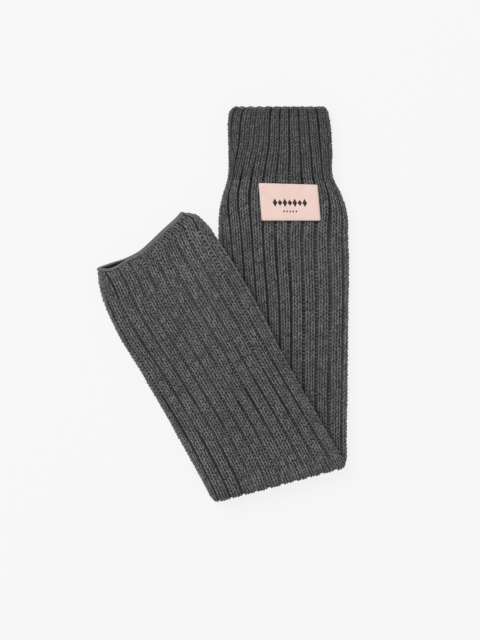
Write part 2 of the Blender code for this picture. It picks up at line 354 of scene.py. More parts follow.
def curve_at(table, down):
    """The values of a table at a distance down the tube, on a smooth curve through its rows."""
    index = np.clip(np.searchsorted(table[:, 0], down, side="right") - 1, 0, len(table) - 2)
    slopes = np.gradient(table[:, 1:], table[:, 0], axis=0)
    start, end = table[index], table[index + 1]
    span = end[..., 0] - start[..., 0]
    share = np.clip((down - start[..., 0]) / span, 0.0, 1.0)
    ease = smooth(share)
    values = []
    for column in range(table.shape[1] - 1):
        lead_in = slopes[index, column] * span * share * (1 - share) ** 2
        lead_out = slopes[index + 1, column] * span * share ** 2 * (1 - share)
        values.append(start[..., column + 1] * (1 - ease) + end[..., column + 1] * ease + lead_in - lead_out)
    return values


def girth_at(down):
    """The way round the tube at its rib crests."""
    left, right = curve_at(OUTLINE, down)
    return 2 * (left + right - THICKNESS) + math.pi * THICKNESS


def ring_slope(along):
    """How far a CAD ring slants across the tube, as rise over run."""
    before = CREASE_SLANT * smooth((along - TURN_FROM) / (CREASE_AT - TURN_FROM))
    share = smooth((along - FOLD_END) / (HEM_START - FOLD_END))
    return np.where(along <= CREASE_AT, before, CREASE_SLANT * (1 - share) + MOUTH_SLOPE * share)


def oval(half_width, inset, turn):
    """Across and height of a point of the flattened ring, inset from the rib crests."""
    radius = THICKNESS / 2
    straight = 2 * half_width - THICKNESS
    arc = math.pi * radius
    travel = (turn % 1.0) * 2 * (straight + arc)
    inner = radius - inset
    over = (travel > arc / 2) & (travel <= arc / 2 + straight)
    right = (travel > arc / 2 + straight) & (travel <= 1.5 * arc + straight)
    under = (travel > 1.5 * arc + straight) & (travel <= 1.5 * arc + 2 * straight)
    late = travel > 1.5 * arc + 2 * straight
    left_angle = math.pi - np.where(late, travel - 2 * (straight + arc), travel) / radius
    right_angle = math.pi / 2 - (travel - arc / 2 - straight) / radius
    right_across = straight / 2 + inner * np.cos(right_angle)
    left_across = -straight / 2 + inner * np.cos(left_angle)
    across = np.where(right, right_across, left_across)
    height = np.where(right, inner * np.sin(right_angle), inner * np.sin(left_angle))
    across = np.where(over, travel - arc / 2 - straight / 2, across)
    height = np.where(over, inner, height)
    across = np.where(under, straight / 2 - (travel - 1.5 * arc - straight), across)
    height = np.where(under, -inner, height)
    return across, height


def drifted(turn, along):
    """Where round the tube a rib of this turn lies at a distance down it."""
    shift, cosine, sine, gather = curve_at(RIB_PATHS, along)
    angle = 2 * np.pi * turn
    path = turn + shift + cosine * np.cos(angle) + sine * np.sin(angle) + gather * np.sin(2 * angle)
    place = (turn % 1.0) * RIB_COUNT
    line = np.floor(place).astype(int) % RIB_COUNT
    part = smooth(place - np.floor(place))
    first = wave_sum(WANDER_WAVES, line, along)
    second = wave_sum(WANDER_WAVES, (line + 1) % RIB_COUNT, along)
    return path + WANDER * (first * (1 - part) + second * part)


def rib_pitch(turn, along):
    """The width of a rib with its furrow, which the ribs' wandering spreads or squeezes."""
    cosine, sine, gather = curve_at(RIB_PATHS, along)[1:]
    angle = 2 * np.pi * turn
    spread = 1 + 2 * np.pi * (sine * np.cos(angle) - cosine * np.sin(angle) + 2 * gather * np.cos(2 * angle))
    return girth_at(along) / RIB_COUNT * spread


def wale_at(pitch):
    """The width of one wale of a rib of this pitch."""
    return np.minimum(WALE, WALE_OF_RIB * pitch)


def mouth_cup(along, share):
    """How much further the tube reaches at the mouth, at a share of its half width across."""
    return curve_at(MOUTH_LINE, share)[0] * smooth((along - HEM_END + CUP_LENGTH) / CUP_LENGTH)


def lip_setback(along, share, height):
    """How far the near lip of the mouth lies back from the far lip."""
    slit = smooth(1 - np.abs(share - LIP_MIDDLE) / LIP_REACH)
    lip = LIP_SHIFT * smooth(LIP_EASE - LIP_EASE * np.abs(share)) + LIP_RECESS * slit
    return lip * smooth((along - HEM_END + LIP_LENGTH) / LIP_LENGTH) * smooth(0.5 - height / THICKNESS)


def edge_scallop(along, turn):
    """How far the ribs stand out at the cast-on edge."""
    scallop = EDGE_SCALLOP * smooth(1 - along / EDGE_SCALLOP_LENGTH)
    return scallop * (0.5 - 0.5 * np.cos(2 * np.pi * RIB_COUNT * turn))


def mouth_press(along, share):
    """The share of its thickness that the tube loses towards the mouth."""
    press = MOUTH_PRESS * smooth((along - HEM_END + PRESS_LENGTH) / PRESS_LENGTH)
    return press * (1 - PRESS_SWING + PRESS_SWING * np.sin(PRESS_WAVE * share + PRESS_PHASE))


def flat_point(along, turn, inset):
    """Points of the flat tube, before it is folded."""
    left, right = curve_at(OUTLINE, along)
    half_width = (left + right) / 2
    across, height = oval(half_width, inset, drifted(turn, along))
    share = across / half_width
    x = AXIS_X + (right - left) / 2 + across
    y = TOP_Y - along + ring_slope(along) * (x - AXIS_X) - mouth_cup(along, share)
    y = y + lip_setback(along, share, height) - edge_scallop(along, turn)
    z = THICKNESS - (THICKNESS / 2 - height) * (1 - mouth_press(along, share))
    return np.stack((x, y, z), -1)


def folded(point):
    """Bends points of the flat tube over the crease, and lets the upper half settle."""
    offset = point[..., :2] - CREASE_MIDDLE
    beyond = offset @ CREASE_OUT
    radius = CREASE_HEIGHT - point[..., 2]
    angle = math.pi * np.clip(beyond / FOLD_ARC, 0.0, 1.0) - math.pi / 2
    reach = radius * np.cos(angle) - np.maximum(beyond - FOLD_ARC, 0.0)
    place = CREASE_MIDDLE + (offset @ CREASE_ALONG)[..., None] * CREASE_ALONG + reach[..., None] * CREASE_OUT
    raised = np.maximum(np.sin(angle), 0.0)
    drop = SETTLE_DROP * raised * smooth((AXIS_X - SETTLE_FROM_AXIS - place[..., 0]) / SETTLE_WIDTH)
    height = CREASE_HEIGHT + radius * np.sin(angle) - drop
    bent = np.concatenate((place, height[..., None]), -1)
    return np.where((beyond <= 0)[..., None], point, bent)


def furrow_force(line, along):
    """How strongly a furrow shows at a place along it, about 1."""
    faint = np.isin(line, FAINT_FURROWS) * smooth((CUFF_END - along) / FAINT_FADE)
    return (1 + FURROW_SWING * wave_sum(FURROW_WAVES, line, along)) * (1 - FAINT_SHARE * faint)


def gap_at(pitch):
    """The gap between two ribs, as a share of their pitch."""
    return 1 - 2 * wale_at(pitch) / pitch


def furrow_depth(line, gap, along):
    """How deep a furrow lies under the crests beside it."""
    gathered = smooth(1 - np.abs(along - CUFF_END) / GATHER_REACH)
    opened = smooth(gap / FURROW_OPEN_GAP) * (1 - gathered)
    depth = FURROW_DEPTH + (FURROW_OPEN_DEPTH - FURROW_DEPTH) * opened
    depth = depth * furrow_force(line, along)
    return depth * (1 - (1 - FURROW_UPPER_SHARE) * smooth((along - CREASE_AT) / FOLD_REACH))


def relief_share(along):
    """The share of the relief that is left, as it fades at the mouth and round the fold."""
    fade = 1 - smooth((along - RIB_FADE_FROM) / (HEM_END - RIB_FADE_FROM))
    from_fold = np.abs(along - (CREASE_AT + FOLD_END) / 2)
    return fade * (1 - FOLD_FLATTEN * smooth(2 - 2 * from_fold / FOLD_REACH))


def swell(turn, along):
    """How deep the fabric lies under its highest lumps."""
    bands = np.stack([np.sin(2 * np.pi * (k % 3 + 1) * turn + k) for k in range(SWELL_BANDS)], -1)
    lines = [np.full(np.shape(along), k) for k in range(SWELL_BANDS)]
    lumps = np.stack([wave_sum(SWELL_WAVES, line, along) for line in lines], -1)
    return SWELL * (1 + (bands * lumps).mean(-1) * SWELL_GAIN)


def edge_roll(along):
    """How far the fabric curls in at the cast-on edge."""
    to_edge = np.clip(EDGE_ROLL - along, 0.0, EDGE_ROLL)
    return EDGE_ROLL - np.sqrt(EDGE_ROLL ** 2 - to_edge ** 2)


def relief(turn, along):
    """How deep the ribbed face lies under its crests."""
    place = turn * RIB_COUNT - 0.5
    line = np.round(place).astype(int) % RIB_COUNT
    part = np.abs(place - np.round(place)) * 2
    gap = gap_at(rib_pitch(turn, along))
    side = (part - 0.5 * gap) / (FURROW_SHOULDER_GAP * gap + FURROW_SHOULDER)
    furrow = furrow_depth(line, gap, along) * (1 - smooth(side))
    crown = RIB_CROWN * (1 - part) ** 2
    return (furrow + crown) * relief_share(along) + swell(turn, along) + edge_roll(along)


def surface(along, turn, depth):
    """Points of the folded sleeve at a depth under its relief."""
    return folded(flat_point(along, turn, relief(turn, along) + depth))


def ring_of(down, turn):
    """The CAD ring that passes through a point this far straight down the flat tube."""
    along = np.array(down, float)
    for _ in range(RING_ROUNDS):
        left, right = curve_at(OUTLINE, along)
        across = oval((left + right) / 2, 0.0, drifted(turn, along))[0]
        along = down + ring_slope(along) * ((right - left) / 2 + across)
    return along


def new_mesh_object(name, points, faces, **attributes):
    """A smooth mesh object from an array of points, an array of faces and point attributes."""
    mesh = bpy.data.meshes.new(name)
    size = faces.shape[1]
    mesh.vertices.add(len(points))
    mesh.vertices.foreach_set("co", points.astype(np.float32).ravel())
    mesh.loops.add(faces.size)
    mesh.loops.foreach_set("vertex_index", faces.astype(np.int32).ravel())
    mesh.polygons.add(len(faces))
    mesh.polygons.foreach_set("loop_start", np.arange(0, faces.size, size, dtype=np.int32))
    mesh.update(calc_edges=True)
    mesh.validate()
    mesh.shade_smooth()
    for key, values in attributes.items():
        vector = values.ndim == 2
        made = mesh.attributes.new(key, "FLOAT_VECTOR" if vector else "FLOAT", "POINT")
        made.data.foreach_set("vector" if vector else "value", values.astype(np.float32).ravel())
    placed = bpy.data.objects.new(name, mesh)
    bpy.context.scene.collection.objects.link(placed)
    return placed


def run_shape(ring_places):
    """The points of a short run of yarn, as place along it, angle round it and share of its radius."""
    angles = np.arange(SIDES) * 2 * np.pi / SIDES
    place = np.concatenate(([0.0], np.repeat(ring_places, SIDES), [1.0]))
    angle = np.concatenate(([0.0], np.tile(angles, len(ring_places)), [0.0]))
    width = np.sin(np.pi * place) ** TIP_SHAPE
    width[[0, -1]] = 0.0
    return place, angle, width


def run_faces(ring_count):
    """Triangles of one run of yarn: a fan at each tip and bands between its rings."""
    faces = []
    last = 1 + ring_count * SIDES
    final = 1 + (ring_count - 1) * SIDES
    for side in range(SIDES):
        following = (side + 1) % SIDES
        faces.append((0, 1 + following, 1 + side))
        faces.append((last, final + side, final + following))
        for ring in range(ring_count - 1):
            low, high = 1 + ring * SIDES, 1 + (ring + 1) * SIDES
            faces.append((low + side, low + following, high + following))
            faces.append((low + side, high + following, high + side))
    return np.array(faces)


class YarnRuns:
    """Many short runs of yarn laid on the sleeve, gathered into one mesh."""

    def __init__(self):
        self.points = []
        self.faces = []
        self.tones = []
        self.strands = []
        self.count = 0

    def lay(self, down, turn, pitch, across, reach, lift, width_way, radius, rings):
        """Adds one run for each row. across, reach and lift give its middle line in metres from the
        stitch's place, for each point of the shape. width_way is its sideways direction, across and down."""
        place, angle, width = run_shape(rings)
        count = len(down)
        ring_radius = radius * width
        across = across + ring_radius * np.cos(angle) * width_way[0]
        reach = reach + ring_radius * np.cos(angle) * width_way[1]
        height = lift + ring_radius * np.sin(angle) * RUN_HEIGHT
        all_down = down + reach
        all_turn = turn + across / (pitch * RIB_COUNT)
        along = np.clip(ring_of(all_down, all_turn), 0.0, HEM_END - HEM_RADIUS)
        points = surface(along, all_turn, BACKING_DEPTH - height)
        faces = run_faces(len(rings))
        if width_way[0] < 0 or (width_way[0] == 0 and width_way[1] > 0):
            faces = faces[:, ::-1]
        offsets = self.count + np.arange(count) * len(place)
        self.points.append(points.reshape(-1, 3))
        self.faces.append((faces[None] + offsets[:, None, None]).reshape(-1, 3))
        self.tones.append(np.repeat(RANDOM.uniform(0, 1, count), len(place)))
        strand = np.stack((np.cos(angle), np.sin(angle), place * LEG_COURSE), -1)
        self.strands.append(np.tile(strand, (count, 1)))
        self.count += count * len(place)

    def build(self, name):
        """The mesh object of all the runs laid so far."""
        return new_mesh_object(name, np.concatenate(self.points), np.concatenate(self.faces),
                               tone=np.concatenate(self.tones), strand=np.concatenate(self.strands))


def course_at(along):
    """The course pitch, finer in the cuff."""
    change = smooth((along - CUFF_END + COURSE_LEAD) / COURSE_CHANGE)
    return CUFF_COURSE + (LEG_COURSE - CUFF_COURSE) * change


def column(turn, line):
    """The courses of one column of stitches: (down, turn, course pitch, ring, line), from cuff to hem."""
    rows = []
    down = CUFF_COURSE * RANDOM.uniform(*FIRST_COURSE)
    while True:
        along = float(ring_of(np.array([down]), np.array([turn]))[0])
        if along > HEM_END - HEM_RADIUS:
            return rows
        pitch = float(course_at(along))
        if CREASE_AT < along < FOLD_END:
            height = flat_point(np.array([along]), np.array([turn]), 0.0)[0, 2]
            pitch = pitch * FOLD_RADIUS / max(CREASE_HEIGHT - height, FOLD_RADIUS / 2)
        rows.append((down, turn, pitch, along, line))
        down += pitch


def columns(turns):
    """The rows of several columns of stitches."""
    rows = []
    for line, turn in enumerate(turns):
        rows.extend(column(turn, line))
    return np.array(rows)


def lay_knit(runs, rows):
    """Both legs of every knit stitch in the two wales of each rib."""
    place = run_shape(LEG_RINGS)[0]
    down, turn, course, along = (rows[:, k][:, None] for k in range(4))
    pitch = rib_pitch(turn, along)
    wale = wale_at(pitch)
    count = len(rows)
    for wale_side in (-1, 1):
        line = (rows[:, 4].astype(int) * 2 + (wale_side + 1) // 2) % (2 * RIB_COUNT)
        tension = 1 + TENSION_SWING * wave_sum(TENSION_WAVES, line, rows[:, 3])[:, None]
        furrow = (rows[:, 4].astype(int) + (wale_side - 1) // 2) % RIB_COUNT
        nearer = FURROW_LEAN * wale_side * (furrow_force(furrow, rows[:, 3]) - 1)[:, None]
        slip = RANDOM.normal(0, LEG_SPREAD, (count, 1))
        for leg_side in (-1, 1):
            lean = 1 + RANDOM.normal(0, LEG_SPREAD, (count, 1))
            shift = RANDOM.normal(0, LEG_SHIFT_SPREAD, (count, 1))
            radius = wale * LEG_RADIUS * tension * (1 + RANDOM.normal(0, LEG_SPREAD, (count, 1)))
            splay = LEG_INNER + (LEG_OUTER - LEG_INNER) * place * lean
            across = wale * (wale_side / 2 + leg_side * splay) + shift - nearer
            reach = ((2 * place - 1) * LEG_REACH + slip) * course
            lift = LEG_LIFT * np.sin(np.pi * place) * (1 + RANDOM.normal(0, LEG_LIFT_SPREAD, (count, 1)))
            lift = lift - LEG_TUCK * place ** 4
            slant = math.atan2(WALE * (LEG_OUTER - LEG_INNER), 2 * LEG_REACH * LEG_COURSE)
            way = (math.cos(slant), -leg_side * math.sin(slant))
            runs.lay(down, turn, pitch, across, reach, lift, way, radius, LEG_RINGS)


def lay_purls(runs, rows):
    """The two interlocking arcs of each purl stitch, across the bottom of every furrow that is open."""
    place = run_shape(PURL_RINGS)[0]
    gap = gap_at(rib_pitch(rows[:, 1], rows[:, 3]))
    rows = rows[gap > PURL_SHOWS]
    down, turn, course, along = (rows[:, k][:, None] for k in range(4))
    pitch = rib_pitch(turn, along)
    half_width = pitch / 2 - wale_at(pitch) * PURL_COVER
    count = len(rows)
    for step, sink in PURL_ARCS:
        radius = PURL_RADIUS * (1 + RANDOM.normal(0, PURL_RADIUS_SPREAD, (count, 1)))
        across = (2 * place - 1) * half_width
        slip = RANDOM.normal(0, PURL_PLACE_SPREAD, (count, 1))
        reach = course * (step + PURL_BOW * np.sin(np.pi * place) + slip)
        lift = PURL_LIFT * np.sin(np.pi * place) - sink
        runs.lay(down, turn, pitch, across, reach, lift, (0.0, -1.0), radius, PURL_RINGS)


def lay_cast_on(runs):
    """The chain of slanted loops along the cast-on edge."""
    place = run_shape(PURL_RINGS)[0]
    count = CHAIN_LOOPS * RIB_COUNT
    turns = (np.arange(count) / count)[:, None]
    for down, slant in CHAIN_ROWS:
        downs = np.full((count, 1), down)
        pitch = rib_pitch(turns, downs)
        across = (2 * place - 1) * pitch / CHAIN_LOOPS * CHAIN_LENGTH
        reach = slant * CHAIN_SLANT * (2 * place - 1) + RANDOM.normal(0, CHAIN_SPREAD, (count, 1))
        lift = CHAIN_LIFT * np.sin(np.pi * place)
        runs.lay(downs, turns, pitch, across, reach, lift, (0.0, -1.0), CHAIN_RADIUS, PURL_RINGS)


def ring_faces(loops, around):
    """Quads between loops of points, the last loop joined to the first."""
    ring = np.arange(around)
    following = (ring + 1) % around
    faces = []
    for index in range(loops):
        low, high = index * around, (index + 1) % loops * around
        faces.append(np.stack((low + ring, high + ring, high + following, low + following), -1))
    return np.concatenate(faces)


def shell(name, alongs, around):
    """A closed stretch of the backing fabric: out along its ribbed face, round the rim and back inside."""
    turns = np.arange(around) / around
    part = np.abs((turns * RIB_COUNT) % 1.0 - 0.5) * 2
    rings = [np.full(around, along) for along in alongs]
    outer = [surface(ring, turns, BACKING_DEPTH) for ring in rings]
    depths = [np.maximum(WALL, relief(turns, ring) + BACKING_DEPTH + GROUND_THICKNESS) for ring in rings]
    inner = [folded(flat_point(ring, turns, depth)) for ring, depth in zip(rings, depths)]
    gaps = [gap_at(rib_pitch(turns, ring)) for ring in rings]
    # The opened mask carries painted shade: paler ground at the bottom of open furrows, and -1 on the inside
    # face, which is painted darkest.
    furrows = [smooth(gap / PURL_SHOWS - 1) * smooth((gap + OPEN_EASE - part) / OPEN_EASE) for gap in gaps]
    loops = np.array(outer + inner[::-1])
    opened = np.array(furrows + [np.full(around, -1.0) for _ in rings])
    return new_mesh_object(name, loops.reshape(-1, 3), ring_faces(len(loops), around), opened=opened.ravel())


def hem_ring(name):
    """The narrow rolled hem round the mouth, whipped over with slanting stitches."""
    around = HEM_RIDGES * HEM_RIDGE_STEPS
    turns = np.arange(around) / around
    loops = []
    for side in range(HEM_SIDES):
        angle = 2 * math.pi * side / HEM_SIDES
        ridge = np.abs(np.sin(math.pi * HEM_RIDGES * turns + HEM_SLANT * math.sin(angle)))
        radius = HEM_RADIUS * (1 - HEM_RIDGE_DEPTH + HEM_RIDGE_DEPTH * 2 * ridge ** HEM_RIDGE_SHAPE)
        along = HEM_END - HEM_RADIUS - radius * math.cos(angle)
        depth = HEM_RADIUS * HEM_DEPTH - radius * math.sin(angle)
        loops.append(folded(flat_point(along, turns, depth)))
    return new_mesh_object(name, np.array(loops).reshape(-1, 3), ring_faces(HEM_SIDES, around)[:, ::-1])


def label_point(across, up, lift):
    """A point of the label, from shares of its half size, drawn askew by the ribs under it."""
    low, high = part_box("woven_label")
    middle = (low + high) / 2
    half = (high - low) / 2
    x = middle.x + half.x * LABEL_WIDTH * across - LABEL_LEAN * up
    y = middle.y + half.y * LABEL_HEIGHT * up - LABEL_DIP * (across + across * up) / 2
    sag = LABEL_WAVE * math.cos(across * LABEL_WAVE_RATE) + LABEL_DROOP * across ** 4
    return Vector((x, y, low.z + lift - sag))


def label_face(mesh, lift, upper):
    """A grid of points over the label's upper or lower face, with rounded corners and edges."""
    columns_count, rows_count = LABEL_GRID
    points = []
    for row in range(rows_count + 1):
        up = 2 * row / rows_count - 1
        for col in range(columns_count + 1):
            across = 2 * col / columns_count - 1
            past_side = max(abs(up) - 1 + 2 * LABEL_CORNER, 0)
            past_end = max(abs(across) - 1 + LABEL_CORNER, 0)
            pull = past_side * past_end / LABEL_CORNER / LABEL_CORNER_PULL
            edge = max(abs(across), 1 - (1 - abs(up)) * LABEL_ASPECT)
            rounding = LABEL_ROUNDING * max((edge - 1 + LABEL_EDGE) / LABEL_EDGE, 0) ** 2
            from_turning = (abs(across) - LABEL_TURNING_AT) / LABEL_TURNING_WIDTH
            rise = LABEL_TURNING * math.exp(-from_turning ** 2) - rounding if upper else rounding
            points.append(mesh.verts.new(label_point(across * (1 - pull), up * (1 - pull), lift + rise)))
    return points


def label_rim():
    """Where the points round the label's border lie in the grid of a face."""
    columns_count, rows_count = LABEL_GRID
    stride = columns_count + 1
    rim = list(range(columns_count))
    rim += [row * stride + columns_count for row in range(rows_count)]
    rim += [rows_count * stride + col for col in range(columns_count, 0, -1)]
    rim += [row * stride for row in range(rows_count, 0, -1)]
    return rim


def label_body():
    """The woven label: a thin slab with rounded corners and slightly fuller ends."""
    mesh = bmesh.new()
    top = label_face(mesh, LABEL_TOP, True)
    bottom = label_face(mesh, LABEL_BOTTOM, False)
    columns_count, rows_count = LABEL_GRID
    stride = columns_count + 1
    for row in range(rows_count):
        for col in range(columns_count):
            a = row * stride + col
            mesh.faces.new((top[a], top[a + 1], top[a + 1 + stride], top[a + stride]))
            mesh.faces.new((bottom[a], bottom[a + stride], bottom[a + 1 + stride], bottom[a + 1]))
    rim = label_rim()
    for here, there in zip(rim, rim[1:] + rim[:1]):
        mesh.faces.new((top[here], bottom[here], bottom[there], top[there]))
    return finish_mesh(mesh, "satin_label")


def finish_mesh(mesh, name):
    """A smooth object from a bmesh, with its faces pointing out."""
    bmesh.ops.recalc_face_normals(mesh, faces=mesh.faces)
    data = bpy.data.meshes.new(name)
    mesh.to_mesh(data)
    mesh.free()
    data.shade_smooth()
    placed = bpy.data.objects.new(name, data)
    bpy.context.scene.collection.objects.link(placed)
    return placed


def raised_patch(mesh, outline, centre):
    """A little domed patch of embroidery on the label, with its outline and centre in shares."""
    rim = [mesh.verts.new(label_point(u, v, PATCH_RIM)) for u, v in outline]
    edge = [mesh.verts.new(label_point(u, v, LABEL_TOP + PATCH_RISE)) for u, v in outline]
    top = mesh.verts.new(label_point(*centre, PATCH_CROWN))
    base = mesh.verts.new(label_point(*centre, PATCH_BASE))
    for k in range(len(outline)):
        following = (k + 1) % len(outline)
        mesh.faces.new((rim[k], rim[following], edge[following], edge[k]))
        mesh.faces.new((edge[k], edge[following], top))
        mesh.faces.new((rim[following], rim[k], base))


def label_motif():
    """A plain woven motif: a row of small diamonds over a short row of dots."""
    mesh = bmesh.new()
    for k in range(DIAMOND_COUNT):
        middle = DIAMOND_FIRST + k * DIAMOND_PITCH
        left, right = middle - DIAMOND_HALF, middle + DIAMOND_HALF
        low, high = DIAMOND_ROW - DIAMOND_TALL[k % 2], DIAMOND_ROW + DIAMOND_TALL[k % 2]
        outline = ((left, DIAMOND_ROW), (middle, low), (right, DIAMOND_ROW), (middle, high))
        raised_patch(mesh, outline, (middle, DIAMOND_ROW))
    for k in range(DOT_COUNT):
        middle = DOT_FIRST + k * DOT_PITCH
        angles = [math.tau * n / DOT_SIDES for n in range(DOT_SIDES)]
        circle = [(middle + DOT_HALF[0] * math.cos(a), DOT_ROW + DOT_HALF[1] * math.sin(a)) for a in angles]
        raised_patch(mesh, circle, (middle, DOT_ROW))
    return finish_mesh(mesh, "label_motif")


def seam_runs():
    """The two ends of each stitch along the label's border, in shares of its half size."""
    right, top = SEAM_CORNER
    corners = ((-right, top), (right, top), (right, -top), (-right, -top))
    runs = []
    for side, start in enumerate(corners):
        end = corners[(side + 1) % len(corners)]
        count = SEAM_COUNTS[side % 2]
        for k in range(count):
            first = [a + (b - a) * (k + SEAM_GAP) / count for a, b in zip(start, end)]
            last = [a + (b - a) * (k + 1 - SEAM_GAP) / count for a, b in zip(start, end)]
            runs.append((first, last))
    return runs


def label_seam():
    """Short tonal stitches that hold the label down just inside its border."""
    mesh = bmesh.new()
    for first, last in seam_runs():
        a = label_point(*first, SEAM_LIFT)
        b = label_point(*last, SEAM_LIFT)
        middle = (a + b) / 2 + Vector((0, 0, SEAM_RISE))
        turn = Vector((1, 0, 0)).rotation_difference(b - a).to_matrix().to_4x4()
        size = Matrix.Diagonal(((b - a).length / 2, SEAM_HALF_WIDTH, SEAM_HALF_HEIGHT, 1.0))
        matrix = Matrix.Translation(middle) @ turn @ size
        bmesh.ops.create_icosphere(mesh, subdivisions=2, radius=1.0, matrix=matrix)
    return finish_mesh(mesh, "label_seam")


def node_material(name, roughness, specular=0.2):
    """A new material, with its node tree and its shader."""
    made = bpy.data.materials.new(name)
    made.use_nodes = True
    shader = made.node_tree.nodes["Principled BSDF"]
    shader.inputs["Roughness"].default_value = roughness
    shader.inputs["Specular IOR Level"].default_value = specular
    return made, made.node_tree, shader


def noise(tree, scale, detail=3.0, stretch=(1.0, 1.0, 1.0)):
    """A noise texture in object coordinates."""
    coordinates = tree.nodes.new("ShaderNodeTexCoord")
    mapping = tree.nodes.new("ShaderNodeMapping")
    mapping.inputs["Scale"].default_value = stretch
    texture = tree.nodes.new("ShaderNodeTexNoise")
    texture.inputs["Scale"].default_value = scale
    texture.inputs["Detail"].default_value = detail
    tree.links.new(coordinates.outputs["Object"], mapping.inputs["Vector"])
    tree.links.new(mapping.outputs["Vector"], texture.inputs["Vector"])
    return texture.outputs["Fac"]


def shaded(colour, share):
    """A colour at a share of its brightness, with alpha."""
    return (*(share * value for value in colour), 1.0)


def ramp(tree, source, *stops):
    """A colour ramp over a value."""
    made = tree.nodes.new("ShaderNodeValToRGB")
    elements = made.color_ramp.elements
    for element, (place, colour) in zip(elements, (stops[0], stops[-1])):
        element.position = place
        element.color = colour
    for place, colour in stops[1:-1]:
        elements.new(place).color = colour
    tree.links.new(source, made.inputs["Fac"])
    return made.outputs["Color"]


def maths(tree, operation, *values):
    """A math node over sockets or numbers."""
    made = tree.nodes.new("ShaderNodeMath")
    made.operation = operation
    for socket, value in zip(made.inputs, values):
        if isinstance(value, (int, float)):
            socket.default_value = value
        else:
            tree.links.new(value, socket)
    return made.outputs["Value"]


def bump(tree, shader, height, distance):
    """Bumps the shader's normal with a height value from 0 to 1."""
    made = tree.nodes.new("ShaderNodeBump")
    made.inputs["Strength"].default_value = 1.0
    made.inputs["Distance"].default_value = distance
    tree.links.new(height, made.inputs["Height"])
    tree.links.new(made.outputs["Normal"], shader.inputs["Normal"])


def attribute(tree, name, output):
    """An attribute stored on the mesh."""
    made = tree.nodes.new("ShaderNodeAttribute")
    made.attribute_name = name
    return made.outputs[output]


def yarn_material(name, share, patch_scale=150.0, patch_weight=0.20):
    """Dark heather yarn of twisted plies: light and dark fibres mixed, each stitch a little different."""
    made, tree, shader = node_material(name, 0.92)
    tone = maths(tree, "MULTIPLY", attribute(tree, "tone", "Fac"), TONE_WEIGHT)
    fibres = maths(tree, "MULTIPLY", noise(tree, 1500.0, 2.0), FIBRE_WEIGHT)
    cloud = noise(tree, patch_scale, 2.0)
    patches = maths(tree, "MULTIPLY_ADD", cloud, patch_weight, 0.1 - patch_weight / 2)
    blend = maths(tree, "ADD", maths(tree, "ADD", tone, fibres), patches)
    colours = zip(YARN_STOPS, (YARN_DARK, YARN_MIDDLE, YARN_LIGHT))
    # share darkens the whole yarn; below 1 it is painted shade (the cuff and furrow copies)
    stops = [(place, shaded(colour, share)) for place, colour in colours]
    tree.links.new(ramp(tree, blend, *stops), shader.inputs["Base Color"])
    shader.inputs["Sheen Weight"].default_value = 0.15
    shader.inputs["Sheen Roughness"].default_value = 0.5

    split = tree.nodes.new("ShaderNodeSeparateXYZ")
    tree.links.new(attribute(tree, "strand", "Vector"), split.inputs["Vector"])
    angle = maths(tree, "ARCTAN2", split.outputs["Y"], split.outputs["X"])
    twist = maths(tree, "MULTIPLY_ADD", split.outputs["Z"], PLY_TWIST, maths(tree, "MULTIPLY", angle, PLIES))
    plies = maths(tree, "MULTIPLY_ADD", maths(tree, "SINE", twist), 0.35, 0.35)
    hairs = maths(tree, "MULTIPLY", noise(tree, 3000.0, 3.0), 0.5)
    bump(tree, shader, maths(tree, "ADD", plies, hairs), 0.00022)
    return made


def backing_material():
    """Painted shade: the dark ground between the stitches stands in for the shade in the knit's gaps, paler
    at the bottom of open furrows and darkest inside the tube.
    """
    made, tree, shader = node_material("knit_ground_painted_shade", 0.95)
    paler = maths(tree, "MULTIPLY", attribute(tree, "opened", "Fac"), 0.6)
    blend = maths(tree, "MULTIPLY_ADD", noise(tree, 900.0), 0.4, paler)
    colours = ramp(tree, blend, *((place, shaded(YARN_DARK, share)) for place, share in BACKING_SHADE_STOPS))
    tree.links.new(colours, shader.inputs["Base Color"])
    bump(tree, shader, noise(tree, 1200.0), 0.0003)
    return made


def hem_material():
    """Smooth grey-green hem yarn."""
    made, tree, shader = node_material("hem_yarn", 0.8)
    colours = ramp(tree, noise(tree, 800.0), (0.3, shaded(HEM_COLOUR, 0.55)), (0.7, shaded(HEM_COLOUR, 1.0)))
    tree.links.new(colours, shader.inputs["Base Color"])
    shader.inputs["Sheen Weight"].default_value = 0.1
    bump(tree, shader, noise(tree, 2200.0), 0.00015)
    return made


def label_material(name, colour, spread):
    """Woven satin: fine warp ribs crossed by finer weft."""
    made, tree, shader = node_material(name, 0.55, 0.35)
    patches = maths(tree, "MULTIPLY", noise(tree, 60.0), 0.7)
    threads = maths(tree, "MULTIPLY", noise(tree, 1800.0, 2.0, (0.15, 1.0, 1.0)), 0.3)
    cloud = maths(tree, "ADD", patches, threads)
    colours = ramp(tree, cloud, (0.35, shaded(colour, 1 - spread)), (0.65, shaded(colour, 1.0)))
    tree.links.new(colours, shader.inputs["Base Color"])
    shader.inputs["Sheen Weight"].default_value = 0.1
    coordinates = tree.nodes.new("ShaderNodeTexCoord")
    heights = []
    for direction, scale in WEAVE_SCALES:
        weave = tree.nodes.new("ShaderNodeTexWave")
        weave.bands_direction = direction
        weave.inputs["Scale"].default_value = scale
        weave.inputs["Distortion"].default_value = 0.6
        tree.links.new(coordinates.outputs["Object"], weave.inputs["Vector"])
        heights.append(weave.outputs["Fac"])
    bump(tree, shader, maths(tree, "MAXIMUM", *heights), 0.00006)
    return made


def elastic_material():
    """Covered elastic thread, which runs hidden in the cuff."""
    made, tree, shader = node_material("covered_elastic", 0.7)
    colours = ramp(tree, noise(tree, 1400.0), (0.3, shaded(YARN_DARK, 0.5)), (0.7, shaded(YARN_DARK, 1.5)))
    tree.links.new(colours, shader.inputs["Base Color"])
    bump(tree, shader, noise(tree, 3000.0), 0.0001)
    return made


